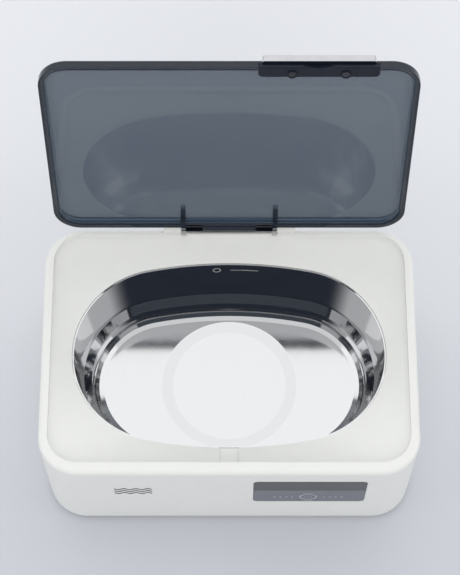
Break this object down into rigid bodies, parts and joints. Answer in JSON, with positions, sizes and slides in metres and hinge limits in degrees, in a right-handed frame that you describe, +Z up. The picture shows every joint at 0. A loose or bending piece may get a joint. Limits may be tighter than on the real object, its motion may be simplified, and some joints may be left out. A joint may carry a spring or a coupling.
{
  "type": "ultrasonic cleaner",
  "caption": "Benchtop ultrasonic cleaner: white rounded housing, oval stainless tank in a funnel deck, touch window at the front, smoked lid on a rear hinge with a chrome-edged handle.",
  "frame": {"origin": "centre of the underside of the centre foot, in the plane the five rubber feet stand on", "axes": "+Z up, +Y towards the hinge at the rear, +X to the right when facing the touch window"},
  "size_m": [0.2, 0.1707, 0.2172],
  "materials": {
    "white_abs": "satin",
    "stainless_steel": "satin",
    "black_rubber": "matte",
    "zinc_steel": "satin",
    "machined_aluminium": "satin",
    "piezo_ceramic": "matte",
    "brass_sheet": "satin",
    "grey_abs": "matte",
    "circuit_board": "satin",
    "ferrite": "matte",
    "copper_winding": "gloss",
    "black_epoxy": "satin",
    "film_capacitor": "gloss",
    "fuse_glass": "gloss",
    "cream_nylon": "satin",
    "wire_jacket": "satin",
    "black_nylon": "satin",
    "smoked_window": "gloss",
    "led_lens": "gloss",
    "spring_steel": "polished",
    "smoked_lid": "gloss",
    "smoked_grip": "gloss",
    "chrome_trim": "polished"
  },
  "bodies": {
    "base": {"housing": "white_abs", "tank": "stainless_steel", "tank_seal": "black_rubber", "tank_clamps": "zinc_steel", "clamp_screws": "zinc_steel", "transducer_plate": "machined_aluminium", "piezo_disc": "piezo_ceramic", "electrode_tabs": "brass_sheet", "base_plate": "grey_abs", "foot_centre": "black_rubber", "foot_front_left": "black_rubber", "foot_rear_left": "black_rubber", "foot_front_right": "black_rubber", "foot_rear_right": "black_rubber", "base_screws": "zinc_steel", "driver_board": "circuit_board", "board_screws": "zinc_steel", "transformer_core": "ferrite", "transformer_winding": "copper_winding", "heat_sink": "machined_aluminium", "power_transistors": "black_epoxy", "film_capacitors": "film_capacitor", "output_inductor": "copper_winding", "fuse": "fuse_glass", "fuse_clips": "brass_sheet", "bulk_capacitor": "black_epoxy", "mains_socket": "cream_nylon", "transducer_socket": "cream_nylon", "display_socket": "cream_nylon", "mains_leads": "wire_jacket", "transducer_leads": "wire_jacket", "display_cable": "wire_jacket", "power_inlet": "black_nylon", "inlet_pins": "brass_sheet", "display_window": "smoked_window", "display_frame": "black_nylon", "display_board": "circuit_board", "display_screws": "zinc_steel", "digit_display": "black_epoxy", "status_leds": "led_lens", "touch_springs": "spring_steel", "hinge_pins": "spring_steel"},
    "lid": {"lid_shell": "smoked_lid", "handle_grip": "smoked_grip", "handle_trim": "chrome_trim", "handle_screws": "spring_steel"}
  },
  "joints": [
    {"name": "lid_hinge", "type": "hinge", "parent": "base", "child": "lid", "pos_m": [0, 0.0704, 0.085], "axis": [1, 0, 0], "range_deg": [0, 102.5]}
  ]
}
